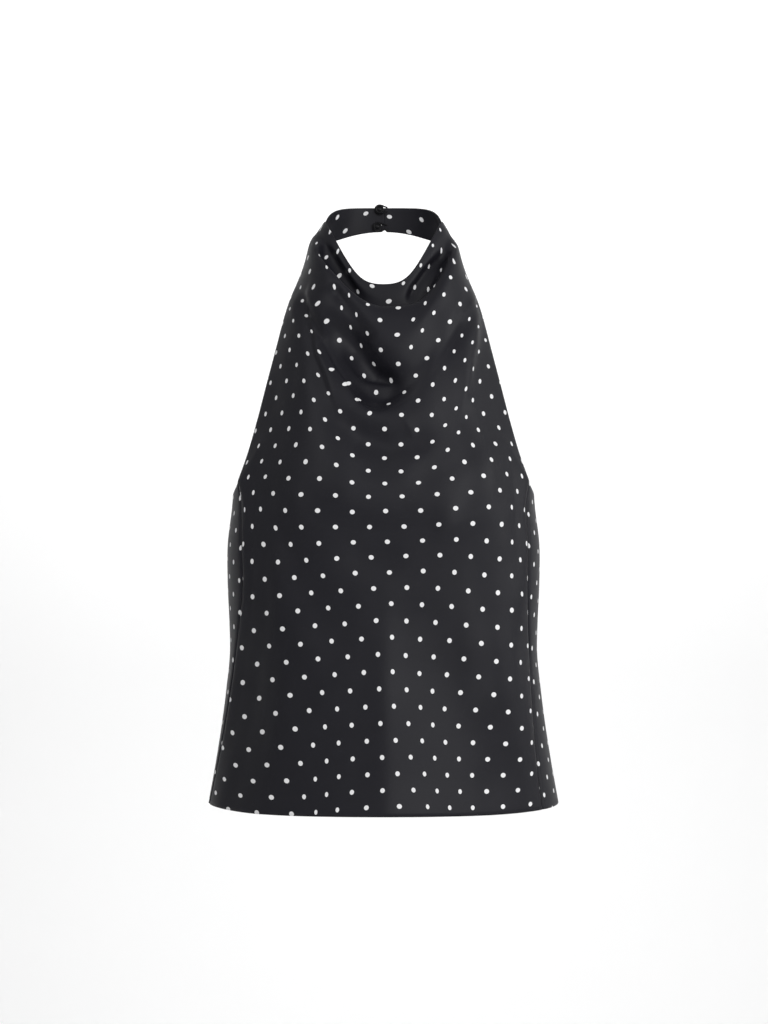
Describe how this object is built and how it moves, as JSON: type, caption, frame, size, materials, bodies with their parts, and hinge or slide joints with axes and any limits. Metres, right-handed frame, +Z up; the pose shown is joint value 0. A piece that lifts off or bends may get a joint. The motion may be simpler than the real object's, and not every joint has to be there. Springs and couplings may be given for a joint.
{
  "type": "halter neck top",
  "caption": "Sleeveless satin halter neck top with a draped cowl front, open back, buttoned nape band and polka dots, kept in its worn hollow form.",
  "frame": {"origin": "the middle of the neck band's inner face at the nape, where the neck holds the top", "axes": "+X to the viewer's right when the front is seen, +Y towards the back of the top, +Z up; the front faces -Y"},
  "size_m": [0.3627, 0.2688, 0.6313],
  "materials": {
    "satin": "satin",
    "button": "gloss",
    "loop_cord": "satin"
  },
  "bodies": {
    "root": {"front_panel": "satin", "back_panel": "satin", "neck_band_left": "satin", "neck_band_right": "satin", "button_upper": "button", "button_lower": "button", "loop_upper": "loop_cord", "loop_lower": "loop_cord"}
  },
  "joints": []
}
